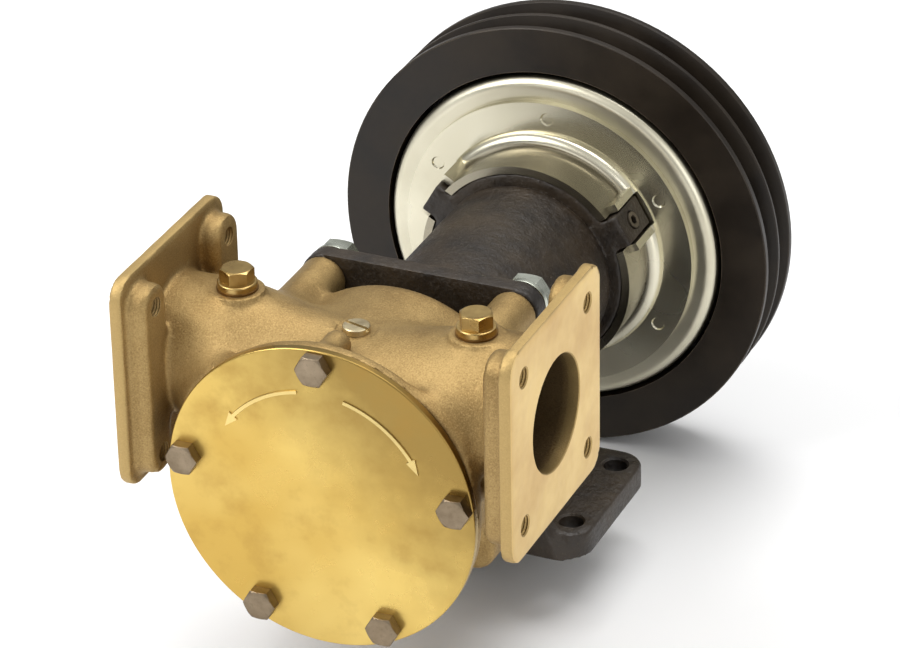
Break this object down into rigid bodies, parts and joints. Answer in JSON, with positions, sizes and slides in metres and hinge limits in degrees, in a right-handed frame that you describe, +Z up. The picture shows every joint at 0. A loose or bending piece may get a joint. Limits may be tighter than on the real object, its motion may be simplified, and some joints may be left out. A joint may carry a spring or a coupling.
{
  "type": "belt-driven flexible impeller pump with electromagnetic clutch",
  "caption": "Flanged bronze flexible-impeller pump on a black bearing pedestal, driven by a two-groove V-belt pulley with an electromagnetic clutch.",
  "frame": {"origin": "on the underside of the foot, in the middle of its four bolt holes", "axes": "+Z up, +Y along the shaft from the pump's end cover to the pulley, +X through the ports"},
  "size_m": [0.2092, 0.318, 0.2092],
  "materials": {
    "bronze_casting": "satin cast",
    "cover_brass": "polished",
    "plug_brass": "polished",
    "bronze_inner": "machined",
    "stainless_bolt": "satin",
    "paper_gasket": "matte",
    "copper_washer": "satin",
    "impeller_rubber": "matte",
    "seal_rubber": "matte",
    "seal_ceramic": "smooth",
    "seal_carbon": "satin",
    "black_cast_iron": "painted",
    "zinc_bolt": "zinc plated",
    "zinc_pressing": "zinc plated",
    "zinc_shell": "zinc plated",
    "set_screw_steel": "satin",
    "winding": "enamelled",
    "potting": "matte",
    "pulley_black": "satin black",
    "lining": "matte",
    "shaft_steel": "ground",
    "bearing_steel": "polished",
    "cage_brass": "machined",
    "circlip_steel": "oiled",
    "armature_steel": "machined",
    "spring_steel": "blued",
    "rivet_steel": "satin"
  },
  "bodies": {
    "pump": {"bearing_housing": "black_cast_iron", "cam": "bronze_inner", "cam_screw": "stainless_bolt", "coil_potting": "potting", "coil_shell": "zinc_shell", "cover_bolts": "stainless_bolt", "cover_gasket": "paper_gasket", "end_cover": "cover_brass", "field_coil": "winding", "front_bearing_circlip": "circlip_steel", "front_bearing_outer_ring": "bearing_steel", "lip_seal": "seal_rubber", "mount_bolts": "zinc_bolt", "mount_washers": "zinc_bolt", "oil_seal": "seal_rubber", "plug_washer_left": "copper_washer", "plug_washer_right": "copper_washer", "priming_plug_left": "plug_brass", "priming_plug_right": "plug_brass", "pulley_bearing_circlip": "circlip_steel", "pulley_bearing_inner_ring": "bearing_steel", "pump_body": "bronze_casting", "rear_bearing_circlip": "circlip_steel", "rear_bearing_outer_ring": "bearing_steel", "seal_seat": "seal_ceramic", "stator_plate": "zinc_pressing", "stator_set_screws": "set_screw_steel", "wear_plate": "bronze_inner"},
    "shaft": {"shaft": "shaft_steel", "impeller": "impeller_rubber", "impeller_insert": "bronze_inner", "impeller_key": "shaft_steel", "seal_head": "seal_carbon", "slinger": "seal_rubber", "front_bearing_inner_ring": "bearing_steel", "rear_bearing_inner_ring": "bearing_steel", "armature_hub": "shaft_steel", "hub_key": "shaft_steel", "hub_washer": "zinc_bolt", "hub_bolt": "zinc_bolt", "hub_rivets": "rivet_steel", "armature_springs": "spring_steel"},
    "armature": {"armature_plate": "armature_steel", "armature_rivets": "rivet_steel"},
    "pulley": {"pulley_rotor": "pulley_black", "friction_lining": "lining", "pulley_bearing_outer_ring": "bearing_steel"},
    "front_cage": {"front_bearing_cage": "cage_brass", "front_bearing_balls": "bearing_steel"},
    "rear_cage": {"rear_bearing_cage": "cage_brass", "rear_bearing_balls": "bearing_steel"},
    "pulley_cage": {"pulley_bearing_cage": "cage_brass", "pulley_bearing_balls": "bearing_steel"}
  },
  "joints": [
    {"name": "shaft_spin", "type": "hinge", "parent": "pump", "child": "shaft", "pos_m": [0, -0.027, 0.076], "axis": [0, 1, 0], "continuous": true, "deforming": ["impeller"]},
    {"name": "armature_pull", "type": "slide", "parent": "shaft", "child": "armature", "axis": [0, -1, 0], "range_m": [0, 0.0005], "stiffness_N_per_m": 4000, "deforming": ["armature_springs"]},
    {"name": "pulley_spin", "type": "hinge", "parent": "pump", "child": "pulley", "pos_m": [0, 0.1205, 0.076], "axis": [0, 1, 0], "continuous": true},
    {"name": "front_cage_spin", "type": "hinge", "parent": "pump", "child": "front_cage", "pos_m": [0, -0.027, 0.076], "axis": [0, 1, 0], "continuous": true},
    {"name": "rear_cage_spin", "type": "hinge", "parent": "pump", "child": "rear_cage", "pos_m": [0, 0.123, 0.076], "axis": [0, 1, 0], "continuous": true},
    {"name": "pulley_cage_spin", "type": "hinge", "parent": "pump", "child": "pulley_cage", "pos_m": [0, 0.1205, 0.076], "axis": [0, 1, 0], "continuous": true}
  ],
  "couplings": [
    {"joint": "front_cage_spin", "follows": "shaft_spin", "ratio": 0.3961},
    {"joint": "rear_cage_spin", "follows": "shaft_spin", "ratio": 0.3961},
    {"joint": "pulley_cage_spin", "follows": "pulley_spin", "ratio": 0.5568}
  ]
}
